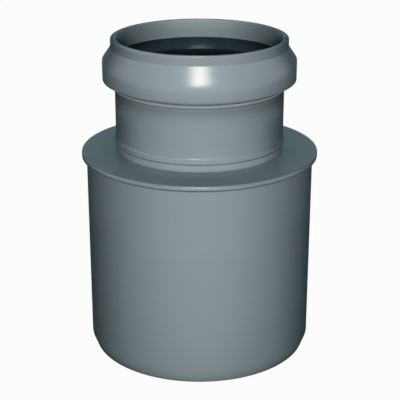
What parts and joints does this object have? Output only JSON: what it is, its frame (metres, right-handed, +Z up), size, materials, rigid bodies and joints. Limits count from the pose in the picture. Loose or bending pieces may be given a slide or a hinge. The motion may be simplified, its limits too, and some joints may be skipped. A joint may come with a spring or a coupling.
{
  "type": "pipe adapter",
  "caption": "Moulded drain-pipe reducer: ring-seal push-fit socket above a stop flange, with a larger plain spigot below that has a tapered lead-in.",
  "frame": {"origin": "centre of the spigot's lower end face, on the axis", "axes": "+Z up the axis from the spigot to the socket's mouth; +X and +Y lie in the lower end face and are interchangeable"},
  "size_m": [0.1146, 0.1146, 0.1552],
  "materials": {
    "body_plastic": "smooth moulded polypropylene, blue-grey, with a soft sheen",
    "seal_rubber": "smooth black rubber with a faint sheen"
  },
  "bodies": {
    "root": {"adapter_body": "body_plastic", "seal_ring": "seal_rubber"}
  },
  "joints": []
}
